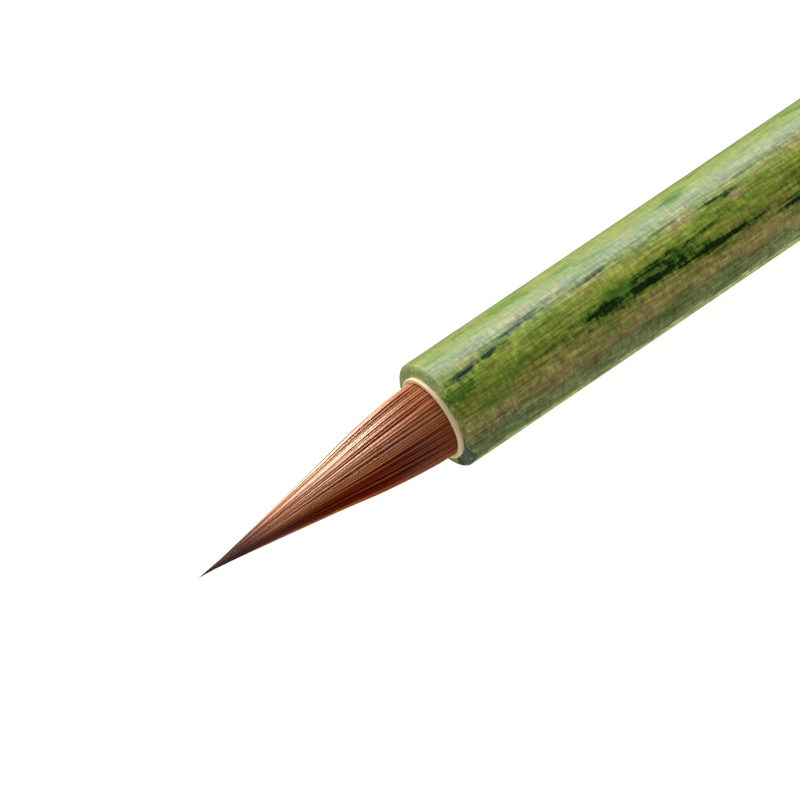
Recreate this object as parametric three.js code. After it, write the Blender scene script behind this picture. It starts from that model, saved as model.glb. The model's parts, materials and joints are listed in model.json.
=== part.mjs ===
// A calligraphy brush: a bamboo culm for a handle, and a pointed tuft of hair set in a socket in its end.
// Millimetres. The brush lies on a table at z = 0 and +Z is up. +X runs along it from the tip to the tail.
// Inside the brush group, x is measured from the mouth of the handle, so the tuft lies at negative x,
// and the long axis is y = z = 0.
import * as THREE from "three";

// ---- Driving dimensions ----
const HANDLE_RADIUS = 5;
const CULM_LENGTH = 200;
const TUFT_LENGTH = 25; // hair that shows beyond the mouth
const TUFT_RADIUS = 3.5; // at the mouth
const SOCKET_DEPTH = 13;
const FIT_GAP = 0.05; // glue line between turned pieces that touch
const SIDES = 24; // flats round each turned piece, wide enough for the brush to lie still on one

// ---- Handle ----
const LUMEN_RADIUS = 1.6; // the culm's own hollow
const LIP_ROUND = 0.3;
const TAIL_ROUND = 0.45;
const RING_BORE = TUFT_RADIUS + FIT_GAP;
const RING_WALL = 0.33;
const RING_RADIUS = RING_BORE + RING_WALL;
const RING_DEPTH = 6; // how far the ring reaches into the handle
const RING_PROUD = 0.35; // the ring stands this far out of the mouth

// ---- Tail cap ----
const CAP_LENGTH = 5.5;
const CAP_RADIUS = 4.8;
const CAP_RIM = 2.4; // straight side of the cap before it rounds over
const CAP_FACE_RADIUS = 2.5;
const SPIGOT_RADIUS = 2.7;
const SPIGOT_LENGTH = 6;
const LOOP_HOLE_RADIUS = 0.9; // takes a hanging loop

// ---- Root of the tuft, set in the socket ----
const ROOT_RADIUS = 3.25;
const ROOT_STEP = 6.4; // where the set root narrows behind the ring
const ROOT_STEP_TAPER = 0.3;
const ROOT_END = 11.4;
const SEAL_THICKNESS = 0.7;
const SEAL_ROUND = 0.25;
const GLUE_START = ROOT_STEP + 0.4;
const GLUE_WALL = 0.2;
const THREAD_RADIUS = 0.2;
const THREAD_CLEARANCE = 0.08;
const THREAD_TURNS = 6;
const THREAD_PITCH = 0.45;
const THREAD_START = 7.5;
const GROOVE_DEPTH = 0.5;
const GROOVE_END_GAP = 0.3;

// ---- Free hair, which bends about a pivot just outside the mouth ----
const PIVOT_X = -1.75;
const SEAT_RADIUS = 3.75; // ball-shaped end of the free hair
const SEAT_GAP = 0.1;
const TAPER_POWER = 1.45;
const TAPER_FALL = 1.25;
const TIP_RADIUS = 0.03;
const COVER_WALL = 0.8;
const COVER_HOLLOW = 18.5;
const BELLY_LENGTH = 16;
const CORE_RADIUS = 1.6;
const CORE_LENGTH = 14.5;

// ---- Helpers ----
const FLAT_SCALE = 1 / Math.cos(Math.PI / SIDES);

// A solid turned about the X axis from a profile of [x, radius] pairs.
// Its flats lie at the stated radii, and one of them faces straight down.
function turned(profile) {
  const points = profile.map(([x, radius]) => new THREE.Vector2(radius * FLAT_SCALE, x));
  return new THREE.LatheGeometry(points, SIDES, Math.PI / SIDES).rotateZ(-Math.PI / 2);
}

// A profile that closes on itself, for a solid with a hole along its axis.
function ringed(profile) {
  return turned([...profile, profile[0]]);
}

// Points on a circular arc in the [x, radius] plane. Angles are in degrees, and 0 points along +X.
function arc(x, radius, size, from, to, steps) {
  return Array.from({ length: steps + 1 }, (_, i) => {
    const angle = THREE.MathUtils.degToRad(from + ((to - from) * i) / steps);
    return [x + size * Math.cos(angle), radius + size * Math.sin(angle)];
  });
}

// Points on the ball-shaped seat from one radius to another, on the side that faces the tail.
function seat(ball, fromRadius, toRadius, steps) {
  const from = Math.asin(fromRadius / ball);
  const to = Math.asin(toRadius / ball);
  return Array.from({ length: steps + 1 }, (_, i) => {
    const angle = from + ((to - from) * i) / steps;
    return [PIVOT_X + ball * Math.cos(angle), ball * Math.sin(angle)];
  });
}

// Radius of a wetted, pointed bundle of hair at a distance from the mouth.
function taper(distance, rootRadius, length) {
  const share = THREE.MathUtils.clamp(distance / length, 0, 1);
  return rootRadius * (1 - share ** TAPER_POWER) ** TAPER_FALL;
}

// The bundle's outline from its point up to the mouth.
function bundle(rootRadius, length, steps) {
  return Array.from({ length: steps }, (_, i) => {
    const distance = length * (1 - (i + 1) / (steps + 1));
    return [-distance, Math.max(taper(distance, rootRadius, length), TIP_RADIUS)];
  });
}

function part(name, geometry, color, roughness) {
  const mesh = new THREE.Mesh(geometry, new THREE.MeshStandardMaterial({ color, roughness, metalness: 0 }));
  mesh.name = name;
  return mesh;
}

// ---- Handle pieces ----

// The culm: a thick-walled tube with a rounded mouth, bored for the ring, the tuft and the tail cap.
function culm() {
  const ringSeat = RING_RADIUS + FIT_GAP;
  const capBore = SPIGOT_RADIUS + FIT_GAP;
  return part(
    "culm",
    ringed([
      ...arc(LIP_ROUND, HANDLE_RADIUS - LIP_ROUND, LIP_ROUND, 180, 90, 5),
      ...arc(CULM_LENGTH - TAIL_ROUND, HANDLE_RADIUS - TAIL_ROUND, TAIL_ROUND, 90, 0, 4),
      [CULM_LENGTH, capBore],
      [CULM_LENGTH - SPIGOT_LENGTH - FIT_GAP, capBore],
      [CULM_LENGTH - SPIGOT_LENGTH - FIT_GAP, LUMEN_RADIUS],
      [SOCKET_DEPTH, LUMEN_RADIUS],
      [SOCKET_DEPTH, RING_BORE],
      [RING_DEPTH + FIT_GAP, RING_BORE],
      [RING_DEPTH + FIT_GAP, ringSeat],
      [0, ringSeat],
    ]),
    0x6f7f33,
    0.35,
  );
}

// The thin pale ring that lines the mouth and stands a little out of it.
function mouthRing() {
  const edge = RING_WALL / 4;
  return part(
    "mouth_ring",
    ringed([
      [-RING_PROUD, RING_BORE + edge],
      [-RING_PROUD, RING_RADIUS - edge],
      [-RING_PROUD + edge, RING_RADIUS],
      [RING_DEPTH, RING_RADIUS],
      [RING_DEPTH, RING_BORE],
      [-RING_PROUD + edge, RING_BORE],
    ]),
    0xe2cfa0,
    0.55,
  );
}

// The turned end cap, glued into the tail by its spigot, with a hole through it for a hanging loop.
function tailCap() {
  const start = CULM_LENGTH + FIT_GAP;
  const end = CULM_LENGTH + CAP_LENGTH;
  const round = new THREE.EllipseCurve(
    start + CAP_RIM,
    CAP_FACE_RADIUS,
    end - start - CAP_RIM,
    CAP_RADIUS - CAP_FACE_RADIUS,
    Math.PI / 2,
    0,
    true,
  );
  return part(
    "tail_cap",
    ringed([
      [CULM_LENGTH - SPIGOT_LENGTH, LOOP_HOLE_RADIUS],
      [CULM_LENGTH - SPIGOT_LENGTH, SPIGOT_RADIUS],
      [start, SPIGOT_RADIUS],
      [start, CAP_RADIUS],
      ...round.getPoints(8).map(({ x, y }) => [x, y]),
      [end, LOOP_HOLE_RADIUS],
    ]),
    0xd9c391,
    0.5,
  );
}

// ---- Pieces that hold the root of the tuft ----

// The bound roots of the hair, set hard with rosin. Their front is a cup that the free hair turns in.
function rootBlock() {
  const grooveStart = THREAD_START - THREAD_RADIUS - GROOVE_END_GAP;
  const grooveEnd = THREAD_START + THREAD_TURNS * THREAD_PITCH + THREAD_RADIUS + GROOVE_END_GAP;
  return part(
    "root_block",
    turned([
      ...seat(SEAT_RADIUS + SEAT_GAP, 0, TUFT_RADIUS, 12),
      [ROOT_STEP - ROOT_STEP_TAPER, TUFT_RADIUS],
      [ROOT_STEP, ROOT_RADIUS],
      [grooveStart, ROOT_RADIUS],
      [grooveStart, ROOT_RADIUS - GROOVE_DEPTH],
      [grooveEnd, ROOT_RADIUS - GROOVE_DEPTH],
      [grooveEnd, ROOT_RADIUS],
      [ROOT_END, ROOT_RADIUS],
      [ROOT_END, 0],
    ]),
    0x4a2a17,
    0.4,
  );
}

// The thread wound round the roots, one long strand in a helix.
class Winding extends THREE.Curve {
  getPoint(share, target = new THREE.Vector3()) {
    const angle = share * THREAD_TURNS * 2 * Math.PI;
    const radius = ROOT_RADIUS - GROOVE_DEPTH + THREAD_RADIUS + THREAD_CLEARANCE;
    const x = THREAD_START + share * THREAD_TURNS * THREAD_PITCH;
    return target.set(x, radius * Math.cos(angle), radius * Math.sin(angle));
  }
}

function rootBinding() {
  const section = new THREE.Shape().absarc(0, 0, THREAD_RADIUS, 0, 2 * Math.PI);
  const geometry = new THREE.ExtrudeGeometry(section, {
    extrudePath: new Winding(),
    steps: THREAD_TURNS * 24,
    curveSegments: 6,
  });
  return part("root_binding", geometry, 0xd8ccb0, 0.8);
}

// The disc of rosin that seals the seared ends of the roots.
function rosinSeal() {
  const start = ROOT_END + FIT_GAP;
  const end = start + SEAL_THICKNESS;
  return part(
    "rosin_seal",
    turned([
      [start, 0],
      [start, ROOT_RADIUS],
      ...arc(end - SEAL_ROUND, ROOT_RADIUS - SEAL_ROUND, SEAL_ROUND, 90, 0, 3),
      [end, 0],
    ]),
    0x7a4312,
    0.25,
  );
}

// The cup of glue that fills the space between the root and the socket.
function socketGlue() {
  const inner = ROOT_RADIUS + FIT_GAP;
  const floor = ROOT_END + SEAL_THICKNESS + 3 * FIT_GAP;
  const end = SOCKET_DEPTH - FIT_GAP;
  return part(
    "socket_glue",
    ringed([
      [GLUE_START, inner],
      [GLUE_START, inner + GLUE_WALL],
      [end, inner + GLUE_WALL],
      [end, LUMEN_RADIUS],
      [floor, LUMEN_RADIUS],
      [floor, inner],
    ]),
    0xb98a4a,
    0.3,
  );
}

// ---- Free hair, in three layers ----

// The long cover hair: a hollow cone with a solid point.
function coverHair() {
  const innerRadius = TUFT_RADIUS - COVER_WALL;
  return part(
    "cover_hair",
    turned([
      [-TUFT_LENGTH, 0],
      ...bundle(TUFT_RADIUS, TUFT_LENGTH, 22),
      ...seat(SEAT_RADIUS, TUFT_RADIUS, innerRadius, 4),
      [0, innerRadius],
      ...bundle(innerRadius, COVER_HOLLOW, 8).reverse(),
      [-COVER_HOLLOW, 0],
    ]),
    0x8a4522,
    0.45,
  );
}

// The shorter belly hair, a sleeve round the core that fills the tuft out.
function bellyHair() {
  const outer = TUFT_RADIUS - COVER_WALL - FIT_GAP;
  const inner = CORE_RADIUS + FIT_GAP;
  const hollow = CORE_LENGTH + 3 * FIT_GAP;
  return part(
    "belly_hair",
    turned([
      [-BELLY_LENGTH, 0],
      ...bundle(outer, BELLY_LENGTH, 9),
      [0, outer],
      ...seat(SEAT_RADIUS, outer, inner, 3),
      [0, inner],
      ...bundle(inner, hollow, 6).reverse(),
      [-hollow, 0],
    ]),
    0xc7b48e,
    0.6,
  );
}

// The stiff core hair in the middle.
function coreHair() {
  return part(
    "core_hair",
    turned([
      [-CORE_LENGTH, 0],
      ...bundle(CORE_RADIUS, CORE_LENGTH, 8),
      [0, CORE_RADIUS],
      ...seat(SEAT_RADIUS, CORE_RADIUS, 0, 3),
    ]),
    0x5a2f1a,
    0.5,
  );
}

// ---- The brush, lying on the table with the middle of its length over the origin ----
const brush = new THREE.Group();
brush.add(
  culm(),
  mouthRing(),
  tailCap(),
  rootBlock(),
  rootBinding(),
  rosinSeal(),
  socketGlue(),
  coverHair(),
  bellyHair(),
  coreHair(),
);
brush.position.set((TUFT_LENGTH - CULM_LENGTH - CAP_LENGTH) / 2, 0, HANDLE_RADIUS);

export default brush;
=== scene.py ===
"""A calligraphy brush on a white table: a mottled green bamboo handle and a pointed tuft of brown hair."""

import json
import math
import random

import bpy
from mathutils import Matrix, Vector


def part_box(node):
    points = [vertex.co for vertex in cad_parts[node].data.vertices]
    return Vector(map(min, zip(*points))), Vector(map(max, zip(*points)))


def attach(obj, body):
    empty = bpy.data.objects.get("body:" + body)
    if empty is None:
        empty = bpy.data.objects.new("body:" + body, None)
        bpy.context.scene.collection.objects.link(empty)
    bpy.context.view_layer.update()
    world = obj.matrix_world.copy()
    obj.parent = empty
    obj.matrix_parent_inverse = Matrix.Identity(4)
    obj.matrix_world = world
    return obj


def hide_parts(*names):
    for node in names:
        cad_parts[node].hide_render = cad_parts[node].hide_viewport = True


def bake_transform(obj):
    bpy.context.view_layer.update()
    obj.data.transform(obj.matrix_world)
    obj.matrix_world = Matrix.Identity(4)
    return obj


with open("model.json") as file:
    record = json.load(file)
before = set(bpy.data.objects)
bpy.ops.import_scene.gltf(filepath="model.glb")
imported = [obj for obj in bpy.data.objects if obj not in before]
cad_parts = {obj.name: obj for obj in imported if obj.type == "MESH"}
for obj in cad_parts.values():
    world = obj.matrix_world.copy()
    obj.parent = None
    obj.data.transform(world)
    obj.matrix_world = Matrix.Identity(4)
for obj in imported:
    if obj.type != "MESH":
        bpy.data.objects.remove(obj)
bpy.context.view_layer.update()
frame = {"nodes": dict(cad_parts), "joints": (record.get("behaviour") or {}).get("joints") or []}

# ---- Places and sizes, read from the frame, in metres ----
MM = 0.001
CULM_LOW, CULM_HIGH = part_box("culm")
MOUTH = CULM_LOW.x  # the open end of the handle, where the hair comes out
TAIL = CULM_HIGH.x
HANDLE_RADIUS = (CULM_HIGH.z - CULM_LOW.z) / 2
AXIS_Z = CULM_LOW.z + HANDLE_RADIUS
RING_LOW, RING_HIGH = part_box("mouth_ring")
RING_RADIUS = (RING_HIGH.z - RING_LOW.z) / 2
RING_WALL = 0.42 * MM
RING_BORE = RING_RADIUS - RING_WALL
HAIR_LOW, HAIR_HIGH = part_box("cover_hair")
TIP = HAIR_LOW.x
TUFT_LENGTH = MOUTH - TIP
TUFT_RADIUS = (HAIR_HIGH.z - HAIR_LOW.z) / 2
CAP_LOW, CAP_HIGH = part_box("tail_cap")
PIVOT = Vector(next(j["pos_m"] for j in frame["joints"] if j["name"] == "tuft_bend"))

# ---- The hair's outline ----
TAPER_POWER = 1.45
TAPER_FALL = 1.25
WAIST = 0.055  # how much the outer half of the tuft draws in, as a share of its radius
WAIST_START, WAIST_END = 0.28, 0.48


def taper(share):
    """Radius of the tuft, as a share of its radius at the mouth, at a share of the way to the tip."""
    share = min(max(share, 0.0), 1.0)
    drawn = min(max((share - WAIST_START) / (WAIST_END - WAIST_START), 0.0), 1.0)
    slim = 1 - WAIST * drawn * drawn * (3 - 2 * drawn)
    return slim * (1 - share ** TAPER_POWER) ** TAPER_FALL


# ---- Mesh helpers ----


def add_mesh(name, points, faces, smooth=True):
    mesh = bpy.data.meshes.new(name)
    mesh.from_pydata(points, [], faces)
    mesh.validate()
    mesh.update()
    mesh.polygons.foreach_set("use_smooth", [smooth] * len(mesh.polygons))
    piece = bpy.data.objects.new(name, mesh)
    bpy.context.scene.collection.objects.link(piece)
    return piece


def unwrap(piece, spot):
    """Lays the mesh out flat for painting. spot(face, corner, point) gives a corner's place on the map."""
    layer = piece.data.uv_layers.new(name="OFBake")
    for face in piece.data.polygons:
        for corner, (loop, point) in enumerate(zip(face.loop_indices, face.vertices)):
            layer.data[loop].uv = spot(face.index, corner, point)


def around(x, radius, angle):
    """A point at a distance from the long axis. Angle 0 is straight up, and it grows towards -Y."""
    return (x, -radius * math.sin(angle), AXIS_Z + radius * math.cos(angle))


def turned(name, profile, sides, uneven=None):
    """A closed solid turned about the long axis from (x, radius) pairs.
    The profile either starts and ends on the axis or closes on itself.
    uneven(x, radius, angle) gives a new radius."""
    solid_ends = profile[0][1] == 0 and profile[-1][1] == 0
    rings = profile[1:-1] if solid_ends else profile
    points = []
    for x, radius in rings:
        for side in range(sides):
            angle = 2 * math.pi * side / sides
            points.append(around(x, uneven(x, radius, angle) if uneven else radius, angle))
    faces = []
    joins = len(rings) - 1 if solid_ends else len(rings)
    for ring in range(joins):
        low, high = ring * sides, ((ring + 1) % len(rings)) * sides
        for side in range(sides):
            after = (side + 1) % sides
            faces.append((low + side, low + after, high + after, high + side))
    if solid_ends:
        first, last = len(points), len(points) + 1
        points += [around(profile[0][0], 0, 0), around(profile[-1][0], 0, 0)]
        end = (len(rings) - 1) * sides
        for side in range(sides):
            after = (side + 1) % sides
            faces.append((first, after, side))
            faces.append((last, end + side, end + after))
    return add_mesh(name, points, faces)


def unwrap_turned(piece, profile, sides, strips):
    """Cuts a long turned piece across into equal lengths of its profile.
    They lie side by side on a square map."""
    reach = [0.0]
    for (x, radius), (next_x, next_radius) in zip(profile, profile[1:] + profile[:1]):
        reach.append(reach[-1] + math.hypot(next_x - x, next_radius - radius))
    grid = math.ceil(math.sqrt(strips))
    length = reach[-1] / strips
    gap = 0.02  # bare edge round each strip, as a share of it

    def spot(face, corner, point):
        ring, side = divmod(face, sides)
        strip = min(int((reach[ring] + reach[ring + 1]) / 2 / length), strips - 1)
        along = reach[ring + (corner >= 2)] / length - strip
        round_share = (side + (corner in (1, 2))) / sides
        return (
            (strip % grid + gap + (1 - 2 * gap) * along) / grid,
            (strip // grid + gap + (1 - 2 * gap) * round_share) / grid,
        )

    unwrap(piece, spot)


def arc(x, radius, size, start, stop, steps):
    """Points on a circular arc in the (x, radius) plane. Angles are in degrees, and 0 points along +X."""
    angles = [math.radians(start + (stop - start) * i / steps) for i in range(steps + 1)]
    return [(x + size * math.cos(a), radius + size * math.sin(a)) for a in angles]


def steps_between(start, stop, count):
    """Values strictly between start and stop."""
    return [start + (stop - start) * (i + 1) / (count + 1) for i in range(count)]


# ---- Material helpers ----


def linear(red, green, blue):
    """A colour given in the usual 0 to 255 steps, as Blender's linear RGBA."""
    def channel(value):
        value /= 255
        return value / 12.92 if value <= 0.04045 else ((value + 0.055) / 1.055) ** 2.4

    return (channel(red), channel(green), channel(blue), 1.0)


class Shader:
    """A Principled material and short ways to add nodes to it."""

    def __init__(self, name, **settings):
        self.material = bpy.data.materials.new(name)
        self.material.use_nodes = True
        self.tree = self.material.node_tree
        self.principled = self.tree.nodes["Principled BSDF"]
        for socket, value in settings.items():
            self.principled.inputs[socket.replace("_", " ")].default_value = value

    def node(self, kind, inputs=None, **settings):
        node = self.tree.nodes.new(kind)
        for key, value in settings.items():
            setattr(node, key, value)
        for key, value in (inputs or {}).items():
            self.feed(value, node.inputs[key])
        return node

    def feed(self, value, socket):
        if isinstance(value, bpy.types.NodeSocket):
            self.tree.links.new(value, socket)
        else:
            socket.default_value = value

    def set(self, socket, value):
        self.feed(value, self.principled.inputs[socket])

    def math(self, operation, a, b=0.0, c=0.0):
        return self.node("ShaderNodeMath", {0: a, 1: b, 2: c}, operation=operation).outputs[0]

    def attribute(self, name):
        return self.node("ShaderNodeAttribute", attribute_name=name).outputs["Fac"]

    def vector(self, x, y, z):
        return self.node("ShaderNodeCombineXYZ", {"X": x, "Y": y, "Z": z}).outputs[0]

    def noise(self, vector, scale, detail=2.0, roughness=0.5, distortion=0.0):
        inputs = {
            "Vector": vector,
            "Scale": scale,
            "Detail": detail,
            "Roughness": roughness,
            "Distortion": distortion,
        }
        return self.node("ShaderNodeTexNoise", inputs).outputs[0]

    def smooth(self, value, low, high, to_low=0.0, to_high=1.0):
        """value eased from low..high to to_low..to_high."""
        inputs = {"Value": value, 1: low, 2: high, 3: to_low, 4: to_high}
        return self.node("ShaderNodeMapRange", inputs, interpolation_type="SMOOTHSTEP").outputs[0]

    def ramp(self, value, stops):
        """stops is a list of (position, linear colour)."""
        node = self.node("ShaderNodeValToRGB", {"Fac": value})
        elements = node.color_ramp.elements
        while len(elements) < len(stops):
            elements.new(0.5)
        for element, (position, colour) in zip(elements, stops):
            element.position = position
            element.color = colour
        return node.outputs["Color"]

    def mix(self, share, first, second):
        node = self.node("ShaderNodeMix", data_type="RGBA")
        self.feed(share, node.inputs["Factor"])
        self.feed(first, node.inputs[6])
        self.feed(second, node.inputs[7])
        return node.outputs[2]

    def brighten(self, colour, factor):
        """colour times factor."""
        inputs = {0: colour, "Scale": factor}
        return self.node("ShaderNodeVectorMath", inputs, operation="SCALE").outputs[0]

    def bump(self, height, distance, strength=1.0):
        inputs = {"Height": height, "Distance": distance, "Strength": strength}
        self.set("Normal", self.node("ShaderNodeBump", inputs).outputs[0])

    def place(self):
        """x, y and z in millimetres: x from the mouth of the handle, y and z from the long axis."""
        here = self.node("ShaderNodeTexCoord").outputs["Object"]
        split = self.node("ShaderNodeSeparateXYZ", {0: here})
        x = self.math("MULTIPLY_ADD", split.outputs["X"], 1000, -MOUTH / MM)
        y = self.math("MULTIPLY", split.outputs["Y"], 1000)
        z = self.math("MULTIPLY_ADD", split.outputs["Z"], 1000, -AXIS_Z / MM)
        return x, y, z


# ---- Bamboo ----

# Colours round the handle, by degrees from straight up towards -Y. The pale band at 104 degrees is a painted
# reflection: a rim of table light along the lower edge.
SKIN_BANDS = [
    (-180, linear(140, 130, 80)),
    (-140, linear(124, 136, 66)),
    (-95, linear(112, 126, 62)),
    (-58, linear(122, 134, 74)),
    (-44, linear(143, 157, 84)),
    (-28, linear(138, 156, 88)),
    (-12, linear(120, 138, 90)),
    (10, linear(138, 152, 60)),
    (28, linear(126, 142, 50)),
    (42, linear(140, 142, 60)),
    (54, linear(168, 156, 86)),
    (68, linear(152, 136, 80)),
    (80, linear(120, 132, 74)),
    (92, linear(128, 140, 90)),
    # painted reflection: a bright rim of table light along the lower edge
    (104, linear(218, 226, 140)),
    (128, linear(138, 152, 74)),
    (180, linear(140, 130, 80)),
]

# Stains by the mouth: what kind, millimetres from the mouth, degrees from straight up towards -Y,
# half length, half width in degrees, and the slant in degrees per millimetre.
STAINS = [
    ("blue", 2.8, 7.2, 1.2, 2.5, -0.5),
    ("black", 5.2, 5.4, 1.4, 2.4, -0.5),
    ("blue", 8.8, -3.7, 2.3, 2.5, -0.9),
    ("green", 14.4, -7.5, 1.2, 2.4, 0.0),
    ("black", 17.7, -1.6, 1.6, 1.8, -0.4),
    ("black", 17.0, 34.0, 2.6, 5.0, 0.4),
    ("black", 21.5, 36.0, 4.6, 4.4, 0.5),
    ("black", 22.6, 25.0, 3.4, 2.6, -0.6),
    ("green", 20.5, 29.0, 4.8, 9.0, 0.0),
    ("black", 27.5, 40.0, 4.5, 2.4, 0.3),
    ("black", 30.2, 4.4, 1.4, 1.8, 0.9),
    ("green", 35.0, -5.0, 3.4, 3.0, 0.0),
    ("black", 36.0, 50.0, 1.8, 1.6, 0.0),
    ("black", 43.0, 38.0, 4.0, 3.4, 0.4),
    ("green", 1.0, 20.0, 2.0, 8.0, 0.0),
    ("grey", 0.0, 104.0, 0.6, 26.0, 0.0),
    ("moss", 1.0, 82.0, 6.0, 26.0, 0.0),
    ("green", 24.7, -1.0, 1.6, 2.4, 0.0),
    ("green", 27.0, -27.0, 1.3, 5.0, 0.0),
    ("tan", 26.0, 3.0, 1.6, 7.0, 0.0),
    ("tan", 31.6, 11.0, 1.0, 4.0, 0.0),
]
STAIN_FREE_LENGTH = 45.0  # scattered stains begin about here, in millimetres from the mouth
STAIN_FREE_DEGREES = (-45.0, 105.0)


def bamboo_skin():
    shader = Shader("bamboo_skin", Specular_IOR_Level=0.28, Coat_Weight=0.06, Coat_Roughness=0.2)
    x, y, z = shader.place()
    turned_by = shader.math("ARCTAN2", shader.math("MULTIPLY", y, -1), z)
    degrees = shader.math("MULTIPLY", turned_by, 180 / math.pi)

    def grain(along, across, detail=3.0, roughness=0.6):
        """Noise about 0, with that many changes in a millimetre along the handle and across it."""
        where = shader.vector(shader.math("MULTIPLY", x, along / across), y, z)
        return shader.math("SUBTRACT", shader.noise(where, across, detail, roughness), 0.5)

    slow = grain(0.03, 0.55)
    patch = grain(0.2, 0.9, 4)
    streak = grain(0.3, 3.0, 4)
    mottle = grain(1.5, 2.2, 4, 0.65)
    fibre = grain(0.35, 4.6, 2)
    tick = grain(3.6, 1.1, 2)

    wander = shader.math("MULTIPLY_ADD", slow, 26.0, degrees)
    wander = shader.math("MULTIPLY_ADD", streak, 34.0, wander)
    turn = shader.math("MULTIPLY_ADD", wander, 1 / 360, 0.5)
    colour = shader.ramp(turn, [(angle / 360 + 0.5, tint) for angle, tint in SKIN_BANDS])

    # Grass-green and tan clouds.
    cloud = shader.math("MULTIPLY_ADD", mottle, 0.5, patch)
    colour = shader.mix(shader.smooth(cloud, 0.03, 0.15, 0.0, 0.7), colour, linear(78, 124, 34))
    colour = shader.mix(shader.smooth(cloud, -0.05, -0.17, 0.0, 0.5), colour, linear(166, 148, 88))

    # Stains, feathered along the grain. Each reach is under 1 inside its stains.
    feather = shader.math("ADD", shader.math("MULTIPLY", streak, 3.0), shader.math("MULTIPLY", fibre, 2.2))
    speckle = shader.math("MULTIPLY_ADD", tick, 1.2, shader.math("MULTIPLY", mottle, 2.2))
    feather = shader.math("ADD", feather, speckle)
    reach = {kind: 9.0 for kind in ("black", "blue", "green", "tan", "grey", "moss")}
    for kind, *shape in STAINS:
        reach[kind] = shader.math("MINIMUM", reach[kind], stain_reach(shader, x, degrees, *shape))
    dark_reach = shader.math("MINIMUM", reach["black"], reach["blue"])
    # The lip is painted paler along the top, a painted highlight where the end face turns away from the
    # lights.
    lip_painted_light = shader.smooth(shader.math("MULTIPLY_ADD", mottle, 1.6, x), 0.6, 0.0, 0.0, 0.5)
    lip_painted_light = shader.math("MULTIPLY", lip_painted_light, shader.smooth(degrees, 30, 0))
    colour = shader.mix(lip_painted_light, colour, linear(176, 196, 124))
    washes = [
        ("tan", (184, 164, 112), 0.6),
        ("moss", (108, 128, 76), 0.5),
        ("grey", (70, 82, 84), 0.8),
    ]
    for kind, tint, most in washes:
        wash = shader.smooth(shader.math("MULTIPLY_ADD", feather, 0.5, reach[kind]), 1.3, 0.5, 0.0, most)
        colour = shader.mix(wash, colour, linear(*tint))
    halo_reach = shader.math("MINIMUM", reach["green"], shader.math("MULTIPLY", dark_reach, 0.55))
    halo = shader.smooth(shader.math("MULTIPLY_ADD", feather, 0.5, halo_reach), 1.3, 0.5, 0.0, 0.72)
    scattered = scattered_stains(shader, x, y, z, degrees, streak)
    halo = shader.math("MAXIMUM", halo, shader.smooth(scattered, -0.06, 0.02, 0.0, 0.6))
    colour = shader.mix(halo, colour, linear(58, 104, 28))
    dark = shader.smooth(shader.math("MULTIPLY_ADD", feather, 1.1, dark_reach), 1.2, 0.55)
    dark = shader.math("MAXIMUM", dark, shader.smooth(scattered, 0.0, 0.06))
    blue = shader.smooth(reach["blue"], 1.8, 1.0)
    stained = shader.mix(blue, linear(20, 46, 14), linear(30, 44, 56))
    colour = shader.mix(shader.math("MULTIPLY", dark, 0.92), colour, stained)

    # Fine light and dark along and across the grain.
    # They are fainter on the side that has been polished by the hand.
    shade = shader.math("MULTIPLY_ADD", fibre, 1.8, 1.0)
    shade = shader.math("MULTIPLY", shade, shader.math("MULTIPLY_ADD", tick, 1.4, 1.0))
    shade = shader.math("MULTIPLY", shade, shader.math("MULTIPLY_ADD", streak, 1.0, 1.0))
    shade = shader.math("MULTIPLY", shade, shader.math("MULTIPLY_ADD", mottle, 1.8, 1.0))
    from_polished = shader.math("ABSOLUTE", shader.math("ADD", degrees, 48))
    strength = shader.smooth(from_polished, 20, 45, 0.4, 1.0)
    shade = shader.math("MULTIPLY_ADD", shader.math("SUBTRACT", shade, 1), strength, 1)
    shader.set("Base Color", shader.brighten(colour, shade))
    shader.set("Roughness", shader.math("MULTIPLY_ADD", streak, 0.3, 0.36))
    height = shader.math("ADD", shader.math("MULTIPLY_ADD", tick, 0.8, fibre), mottle)
    shader.bump(height, 0.04 * MM, 0.7)
    return shader.material


def stain_reach(shader, x, degrees, along, turned_by, half_length, half_width, slant):
    """How far out a place lies from the middle of a slanted oval stain. It is 1 on the stain's edge."""
    past = shader.math("SUBTRACT", x, along)
    off = shader.math("DIVIDE", past, half_length)
    aside = shader.math("SUBTRACT", shader.math("MULTIPLY_ADD", past, -slant, degrees), turned_by)
    aside = shader.math("DIVIDE", aside, half_width)
    total = shader.math("ADD", shader.math("POWER", off, 2), shader.math("POWER", aside, 2))
    return shader.math("SQRT", total)


def scattered_stains(shader, x, y, z, degrees, streak):
    """Above 0 inside stains over the rest of the handle, away from those by the mouth."""
    spots = shader.noise(shader.vector(shader.math("MULTIPLY", x, 0.1), y, z), 0.62, 2, 0.5)
    spots = shader.math("SUBTRACT", shader.math("MULTIPLY_ADD", streak, 0.5, spots), 0.62)
    start, stop = STAIN_FREE_DEGREES
    far = shader.smooth(x, STAIN_FREE_LENGTH, STAIN_FREE_LENGTH + 8)
    above = shader.smooth(degrees, start, start - 25)
    below = shader.smooth(degrees, stop, stop + 25)
    allowed = shader.math("MAXIMUM", far, shader.math("MAXIMUM", above, below))
    return shader.math("ADD", spots, shader.math("SUBTRACT", shader.math("MULTIPLY", allowed, 0.4), 0.4))


def culm_unevenness(x, radius, angle):
    """A real culm is not quite round or straight-sided."""
    along = (x - MOUTH) / MM
    swell = 0.022 * math.sin(2 * angle + 0.03 * along) + 0.014 * math.sin(3 * angle - 0.05 * along + 1.3)
    return radius + swell * MM * min(1.0, radius / HANDLE_RADIUS) ** 4


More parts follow.
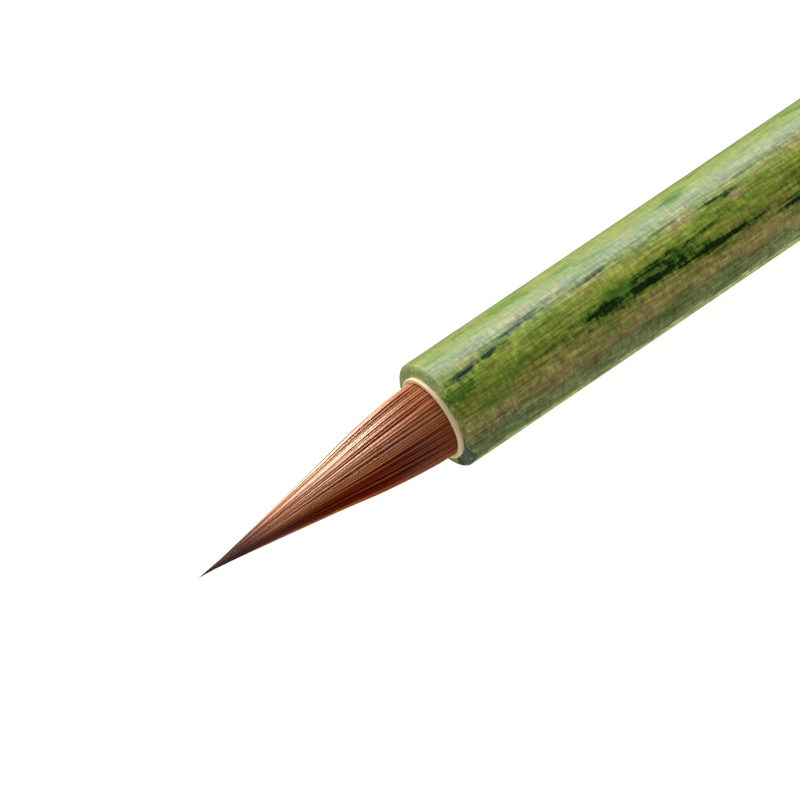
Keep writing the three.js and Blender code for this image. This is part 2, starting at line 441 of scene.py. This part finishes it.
def make_culm():
    lip = 0.42 * MM
    face = 0.03 * MM  # how far the end face dips towards the ring
    bore = RING_RADIUS + 0.02 * MM
    crest = bore + 0.25 * MM
    cap_bore = 2.75 * MM
    cap_bore_end = TAIL - 6.1 * MM
    lumen = 1.6 * MM  # the culm's own hollow
    socket = 3.55 * MM
    socket_end = MOUTH + 13 * MM
    ring_seat = MOUTH + 6.05 * MM
    profile = [(MOUTH + face, bore), (MOUTH + face / 3, bore + 0.1 * MM)]
    for step in range(13):
        turn = math.radians(180 - 90 * step / 12)
        profile.append((MOUTH + lip + lip * math.cos(turn), crest + (HANDLE_RADIUS - crest) * math.sin(turn)))
    profile += [(x, HANDLE_RADIUS) for x in steps_between(MOUTH + lip, TAIL - lip, 120)]
    profile += arc(TAIL - lip, HANDLE_RADIUS - lip, lip, 90, 0, 8)
    profile += [(TAIL, cap_bore), (cap_bore_end, cap_bore), (cap_bore_end, lumen)]
    profile += [(socket_end, lumen), (socket_end, socket)]
    profile += [(ring_seat, socket), (ring_seat, bore)]
    sides = 192
    culm = turned("bamboo_culm", profile, sides, culm_unevenness)
    unwrap_turned(culm, profile, sides, 4)
    culm.data.materials.append(bamboo_skin())
    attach(culm, "handle")
    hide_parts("culm")


def make_ring():
    shader = Shader("pale_bamboo", Roughness=0.5, Subsurface_Weight=0.1)
    x, y, z = shader.place()
    grain = shader.noise(shader.vector(shader.math("MULTIPLY", x, 0.2), y, z), 4.0, 3, 0.6)
    tint = [(0.3, linear(253, 224, 164)), (0.6, linear(255, 236, 190)), (0.8, linear(238, 200, 138))]
    shader.set("Base Color", shader.ramp(grain, tint))
    shader.bump(grain, 0.02 * MM, 0.4)

    face = RING_LOW.x
    edge = 0.12 * MM
    profile = arc(face + edge, RING_BORE + edge, edge, 270, 180, 4)
    profile += arc(face + edge, RING_RADIUS - edge, edge, 180, 90, 4)
    profile += [(RING_HIGH.x, RING_RADIUS), (RING_HIGH.x, RING_BORE)]

    def uneven(x, radius, angle):
        return radius + 0.02 * MM * math.sin(5 * angle + 1) * math.sin(2 * angle)

    ring = turned("mouth_ring_pale", profile, 160, uneven)
    ring.data.materials.append(shader.material)
    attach(ring, "handle")
    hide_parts("mouth_ring")


# ---- Tail cap ----


def make_cap():
    shader = Shader("cap_wood", Roughness=0.38, Coat_Weight=0.25, Coat_Roughness=0.2)
    x, y, z = shader.place()
    grain = shader.noise(shader.vector(shader.math("MULTIPLY", x, 0.18), y, z), 2.6, 4, 0.6, 0.3)
    tint = [(0.3, linear(188, 152, 98)), (0.5, linear(216, 186, 134)), (0.7, linear(228, 204, 156))]
    shader.set("Base Color", shader.ramp(grain, tint))
    shader.bump(grain, 0.02 * MM, 0.4)

    radius = (CAP_HIGH.z - CAP_LOW.z) / 2
    hole = 0.9 * MM
    spigot = 2.7 * MM
    face_radius = 2.3 * MM
    start = TAIL + 0.05 * MM
    end = CAP_HIGH.x
    bead = 0.22 * MM
    profile = [(CAP_LOW.x, hole), (CAP_LOW.x, spigot), (start, spigot)]
    profile += arc(start + bead, radius - bead, bead, 180, 90, 6)
    groove = start + 1.5 * MM
    profile += [(groove - bead, radius)] + arc(groove, radius, bead, 180, 360, 8)
    profile += [(groove + bead, radius)]
    shoulder = groove + 2 * bead
    for step in range(13):
        turn = math.radians(90 - 90 * step / 12)
        profile.append((
            shoulder + (end - shoulder) * math.cos(turn),
            face_radius + (radius - face_radius) * math.sin(turn),
        ))
    profile += arc(end - bead, hole + bead, bead, 0, -90, 5)
    cap = turned("tail_cap_turned", profile, 128)
    cap.data.materials.append(shader.material)
    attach(cap, "handle")
    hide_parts("tail_cap")


# ---- Hair ----

STRAND_COUNT = 1120
STRAND_SIDES = 6
STRAND_STEPS = 13
STRAND_RADIUS = 0.08 * MM  # half of a hair's width, a lock of a few real hairs
STRAND_FLATNESS = 0.25  # thickness as a share of width, so that the surface shines as one
OUTER_SHARE = 0.15  # share of the hairs that lie on top of the rest
# Painted shade between the hairs: buried hairs are painted darker the deeper they lie.
BURIED_PAINTED_SHADE = 4.8  # how fast a hair's tone falls with its depth in the tuft
ROOT_OVERLAP = 0.2 * MM  # the hair starts this far inside the mouth
TIP_DROOP = 0.25 * MM
GOLDEN_ANGLE = math.pi * (3 - math.sqrt(5))  # spreads the hairs evenly round the tuft
SEAT_RADIUS = 3.75 * MM  # the ball-shaped end of the hair in the mouth


def hair_shader(name, tones, tip):
    shader = Shader(name, IOR=1.7, Specular_IOR_Level=0.9, Specular_Tint=(1.0, 0.88, 0.81, 1.0))
    tone = shader.attribute("tone")
    along = shader.attribute("along")
    colour = shader.ramp(tone, tones)
    colour = shader.mix(shader.smooth(along, 0.64, 0.86, 0.0, 0.94), colour, tip)
    colour = shader.mix(shader.smooth(along, 0.24, 0.06, 0.0, 0.6), colour, ROOT_TONE)
    # The middle is combed smooth and shines. The root and the tip are duller.
    near_root = shader.smooth(along, 0.04, 0.32, 0.9, 0.2)
    near_tip = shader.smooth(along, 0.5, 0.8, 0.0, 0.6)
    shader.set("Roughness", shader.math("ADD", near_root, near_tip))
    shader.set("Base Color", colour)
    return shader.material


HAIR_TONES = [
    (0.0, linear(102, 18, 2)),
    (0.3, linear(152, 54, 10)),
    (0.55, linear(196, 100, 38)),
    (0.8, linear(228, 152, 92)),
    (1.0, linear(250, 210, 166)),
]
BELLY_TONES = [(0.0, linear(206, 186, 146)), (1.0, linear(232, 218, 186))]
CORE_TONES = [(0.0, linear(84, 44, 26)), (1.0, linear(130, 80, 50))]
TIP_TONE = linear(90, 42, 38)
ROOT_TONE = linear(164, 82, 26)


def set_numbers(piece, name, values):
    piece.data.attributes.new(name, "FLOAT", "POINT").data.foreach_set("value", values)


def lobe(angle, degrees, sharpness):
    """1 at that many degrees round the tuft, and falling to 0 on both sides of it."""
    return max(0, math.cos(angle - math.radians(degrees))) ** sharpness


def tone_round_and_painted_shade(angle):
    """Slow changes of tone round the tuft, so that neighbouring hairs look alike. Painted shade makes it
    deeper towards -Y round 72 degrees, and a painted rim of bounced light lightens it round 116 degrees.
    """
    ripples = 0.04 * math.sin(9 * angle + 0.7) + 0.03 * math.sin(23 * angle + 2.1)
    ripples += 0.04 * math.sin(67 * angle)
    return 0.47 + ripples - 0.4 * lobe(angle, 72, 7) + 0.34 * lobe(angle, 116, 14)


def hair_tone(angle, chance):
    """A hair's tone. Some stand out pale or dark among their neighbours, most where the hair is pale."""
    tone = tone_round_and_painted_shade(angle)
    spread = 0.25 + 1.3 * tone
    pick = chance.random()
    step = 0.4 if pick < 0.18 else -0.3 if pick < 0.4 else 0
    return tone + spread * (step + chance.gauss(0, 0.16))


def tone_drift_and_painted_highlight(angle, share):
    """Slow changes of tone along the hair as well as round it, with a painted highlight: the middle of the
    upper side is painted paler.
    """
    upper_painted_highlight = 0.2 * lobe(angle, -28, 3) * math.exp(-((share - 0.42) / 0.14) ** 2)
    return upper_painted_highlight + 0.07 * math.sin(5 * angle + 8 * share) + 0.06 * math.sin(13 * angle - 11 * share + 2)


def droop(share):
    """How far the tuft's middle line hangs below the handle's axis."""
    return TIP_DROOP * share ** 1.5


def strand_spot(strand, part, side):
    """Where a point of a strand lies on the flat map: each strand has a narrow upright cell of its own."""
    columns, rows = 128, 9  # cells for all STRAND_COUNT strands
    across = 0.5 + 0.27 * (1 if side < STRAND_SIDES / 2 else -1)
    up = 0.06 + 0.88 * part
    return ((strand % columns + across) / columns, (strand // columns + up) / rows)


def make_strands():
    """The hairs on the outside of the tuft, one thin tapering tube each."""
    chance = random.Random(21)
    points, faces, tones, along_values, spots = [], [], [], [], []
    for strand in range(STRAND_COUNT):
        angle = GOLDEN_ANGLE * strand + chance.gauss(0, 0.003)
        outer = chance.random() < OUTER_SHARE
        depth = chance.uniform(1.0, 1.025) if outer else chance.uniform(0.9, 0.99)
        reach = 1.0 if chance.random() < 0.5 else chance.uniform(0.75, 1.0)
        drift = 0.04 * math.sin(4 * angle + 1) + 0.03 * math.sin(11 * angle) + chance.gauss(0, 0.014)
        size = STRAND_RADIUS * chance.uniform(0.7, 1.2)
        roll = chance.gauss(0, 0.3)
        # Painted shade by depth: hairs on top are painted lighter, and buried ones darker.
        tone = hair_tone(angle, chance) + (0.13 if outer else BURIED_PAINTED_SHADE * (depth - 0.99) - 0.06)
        start = len(points)
        shift = strand * 0.618 % 1 - 0.5  # so that the hairs' joints don't line up when the tuft bends
        for step in range(STRAND_STEPS + 1):
            part = (step + (shift if 0 < step < STRAND_STEPS else 0)) / STRAND_STEPS
            share = reach * part
            here = angle + drift * share + 0.012 * math.sin(5 * share + 7 * angle)
            proud = 1 + (depth - 1) * min(1.0, 8 * share + 0.2)
            middle = max(TUFT_RADIUS * taper(share) * proud - size * STRAND_FLATNESS, 0)
            x = MOUTH + ROOT_OVERLAP - (TUFT_LENGTH + ROOT_OVERLAP) * share
            thin = size * (1 - 0.85 * part ** 3) * (0.6 + 0.4 * taper(share))
            for side in range(STRAND_SIDES):
                turn = 2 * math.pi * side / STRAND_SIDES
                thick, wide = STRAND_FLATNESS * thin * math.cos(turn), thin * math.sin(turn)
                out = middle + thick * math.cos(roll) + wide * math.sin(roll)
                aside = wide * math.cos(roll) - thick * math.sin(roll)
                points.append((
                    x,
                    -out * math.sin(here) - aside * math.cos(here),
                    AXIS_Z - droop(share) + out * math.cos(here) - aside * math.sin(here),
                ))
                spots.append(strand_spot(strand, part, side))
                tones.append(min(max(tone + tone_drift_and_painted_highlight(angle, share), 0), 1))
                along_values.append(share)
        for step in range(STRAND_STEPS):
            low = start + step * STRAND_SIDES
            for side in range(STRAND_SIDES):
                after = (side + 1) % STRAND_SIDES
                faces.append((low + side, low + STRAND_SIDES + side, low + STRAND_SIDES + after, low + after))
        faces.append(tuple(start + side for side in range(STRAND_SIDES)))
        end = start + STRAND_STEPS * STRAND_SIDES
        faces.append(tuple(end + side for side in reversed(range(STRAND_SIDES))))
    piece = add_mesh("cover_hair_strands", points, faces)
    set_numbers(piece, "tone", tones)
    set_numbers(piece, "along", along_values)
    unwrap(piece, lambda face, corner, point: spots[point])
    piece.data.materials.append(hair_shader("cover_hair", HAIR_TONES, TIP_TONE))
    return piece


def seat(outer, inner):
    """The ball-shaped end of a bundle in the mouth, from its outer radius to its inner one."""
    start, stop = (math.asin(min(radius / SEAT_RADIUS, 1)) for radius in (outer, inner))
    turns = [start + (stop - start) * i / 6 for i in range(7)]
    return [(PIVOT.x + SEAT_RADIUS * math.cos(turn), SEAT_RADIUS * math.sin(turn)) for turn in turns]


def bundle_outline(radius, length, steps):
    """A bundle's side from near its point up to the mouth."""
    shares = [1 - (step + 1) / (steps + 1) for step in range(steps)]
    return [(MOUTH - length * share, max(radius * taper(share), 0.02 * MM)) for share in shares]


def bundle(name, outer, length, inner, hollow, flutes, tones):
    """A bundle of packed hairs with a pointed hollow in it, or a solid one if inner is 0."""
    profile = [(MOUTH - length, 0)] + bundle_outline(outer, length, 24) + seat(outer, inner)
    if inner:
        profile += [(MOUTH, inner)] + bundle_outline(inner, hollow, 12)[::-1] + [(MOUTH - hollow, 0)]

    def fluted(x, ring, angle):
        return ring * (1 + 0.012 * math.sin(flutes * angle) + 0.008 * math.sin(2.7 * flutes * angle))

    piece = turned(name, profile, 96, fluted)
    shares = [min(max((MOUTH - v.co.x) / TUFT_LENGTH, 0), 1) for v in piece.data.vertices]
    for vertex, share in zip(piece.data.vertices, shares):
        vertex.co.z -= droop(share)
    # The bundles take the dark end of their tones. Under the loose strands this is painted shade in the gaps
    # between the hairs.
    set_numbers(piece, "tone", [0.05] * len(shares))
    set_numbers(piece, "along", shares)
    piece.data.materials.append(hair_shader(name, tones, TIP_TONE))
    return piece


def make_hair():
    """Cover hair as loose strands over a packed sleeve, with the belly hair and the core hair inside it."""
    belly_low, belly_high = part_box("belly_hair")
    core_low, core_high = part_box("core_hair")
    belly = (belly_high.z - belly_low.z) / 2
    core = (core_high.z - core_low.z) / 2
    belly_length = MOUTH - belly_low.x
    core_length = MOUTH - core_low.x
    gap = 0.05 * MM
    sleeve = TUFT_RADIUS * 0.9
    sleeve_length = TUFT_LENGTH * 0.98
    sleeve_hollow = TUFT_LENGTH * 0.74
    belly_hollow = core_length + 3 * gap
    pieces = {
        "cover_hair": [
            make_strands(),
            bundle("cover_hair_under", sleeve, sleeve_length, belly + gap, sleeve_hollow, 40, HAIR_TONES),
        ],
        "belly_hair": [
            bundle("belly_hair_bundle", belly, belly_length, core + gap, belly_hollow, 32, BELLY_TONES),
        ],
        "core_hair": [
            bundle("core_hair_bundle", core, core_length, 0, 0, 20, CORE_TONES),
        ],
    }
    for node, made in pieces.items():
        for piece in made:
            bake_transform(piece)
            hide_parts(node)


# ---- Pieces hidden in the socket, which keep their CAD shape ----


def dress_hidden(node, shader, tint, scale):
    x, y, z = shader.place()
    grain = shader.noise(shader.vector(x, y, z), scale, 3, 0.6)
    shader.set("Base Color", shader.ramp(grain, tint))
    shader.bump(grain, 0.02 * MM, 0.4)
    slots = frame["nodes"][node].data.materials
    slots.clear()
    slots.append(shader.material)


def dress_socket():
    dress_hidden(
        "root_block", Shader("set_hair", Roughness=0.35),
        [(0.35, linear(58, 30, 16)), (0.65, linear(92, 54, 30))], 6.0,
    )
    dress_hidden(
        "root_binding", Shader("thread", Roughness=0.8),
        [(0.35, linear(190, 178, 150)), (0.65, linear(226, 216, 192))], 9.0,
    )
    dress_hidden(
        "rosin_seal", Shader("rosin", Roughness=0.2, Transmission_Weight=0.3),
        [(0.35, linear(110, 58, 14)), (0.65, linear(150, 86, 24))], 2.0,
    )
    dress_hidden(
        "socket_glue", Shader("glue", Roughness=0.3),
        [(0.35, linear(176, 128, 64)), (0.65, linear(204, 160, 96))], 3.0,
    )


# ---- Camera, light and table ----

VIEW_RIGHT = Vector((0.779, -0.627, 0))  # the brush's tip points left and towards the viewer
VIEW_RISE = math.radians(57)
VIEW_DISTANCE = 0.9
VIEW_WIDTH = 66.5 * MM
SENSOR = 36.0
AIM_FROM_TIP = 23.33 * MM
AIM_ASIDE = 2.76 * MM  # the brush passes this far below and right of the picture's middle


def make_camera():
    right = VIEW_RIGHT.normalized()
    flat = right.cross(Vector((0, 0, 1))).normalized()  # from the camera side towards the viewer
    back = (flat * math.cos(VIEW_RISE) + Vector((0, 0, 1)) * math.sin(VIEW_RISE)).normalized()
    up = back.cross(right)
    along = Vector((right.x, up.x)).normalized()  # the handle's direction in the picture
    aim = Vector((TIP + AIM_FROM_TIP, 0, AXIS_Z))
    aim += (right * -along.y + up * along.x) * AIM_ASIDE
    data = bpy.data.cameras.new("camera")
    data.sensor_width = SENSOR
    data.lens = SENSOR * VIEW_DISTANCE / VIEW_WIDTH
    data.clip_start = 0.01
    camera = bpy.data.objects.new("camera", data)
    camera.location = aim + back * VIEW_DISTANCE
    camera.rotation_euler = back.to_track_quat("Z", "Y").to_euler()
    bpy.context.scene.collection.objects.link(camera)
    bpy.context.scene.camera = camera


def softbox(name, direction, distance, size, power, mirrored=True):
    """A soft light round the middle of the view. One that isn't mirrored never shows as a shine."""
    data = bpy.data.lights.new(name, "AREA")
    data.shape = "RECTANGLE"
    data.size, data.size_y = size
    data.energy = power
    light = bpy.data.objects.new(name, data)
    light.visible_glossy = mirrored
    towards = Vector(direction).normalized()
    light.location = Vector((TIP + AIM_FROM_TIP, 0, AXIS_Z)) + towards * distance
    light.rotation_euler = towards.to_track_quat("Z", "Y").to_euler()
    bpy.context.scene.collection.objects.link(light)


def make_light():
    world = bpy.data.worlds.new("studio")
    world.use_nodes = True
    world.node_tree.nodes["Background"].inputs["Color"].default_value = (1, 1, 1, 1)
    world.node_tree.nodes["Background"].inputs["Strength"].default_value = 0.2
    bpy.context.scene.world = world
    bpy.context.scene.view_settings.view_transform = "Standard"
    world.cycles_visibility.glossy = False
    softbox("key", (0.41, 0.73, 0.55), 0.6, (0.24, 0.36), 2.35)
    softbox("hair_light", (0.05, 0.87, 0.49), 0.6, (0.14, 0.6), 2.7)
    softbox("fill", (-0.45, -0.05, 0.85), 0.8, (0.5, 0.5), 1.5, mirrored=False)


def make_table():
    shader = Shader("white_table", Roughness=0.8, Emission_Strength=0.96)
    grain = shader.noise(shader.node("ShaderNodeTexCoord").outputs["Object"], 40.0, 2)
    greys = [(0.3, linear(106, 106, 106)), (0.7, linear(110, 110, 110))]
    shader.set("Base Color", shader.ramp(grain, greys))
    shader.set("Emission Color", (1, 1, 1, 1))
    half = 3.0
    corners = [(-half, -half, 0), (half, -half, 0), (half, half, 0), (-half, half, 0)]
    table = add_mesh("table", corners, [(0, 1, 2, 3)])
    table.location.z = -0.05 * MM
    table.data.materials.append(shader.material)
    table.visible_glossy = False  # the brush is lit by the table but does not mirror it


make_camera()
make_culm()
make_ring()
make_cap()
make_hair()
dress_socket()
make_light()
make_table()
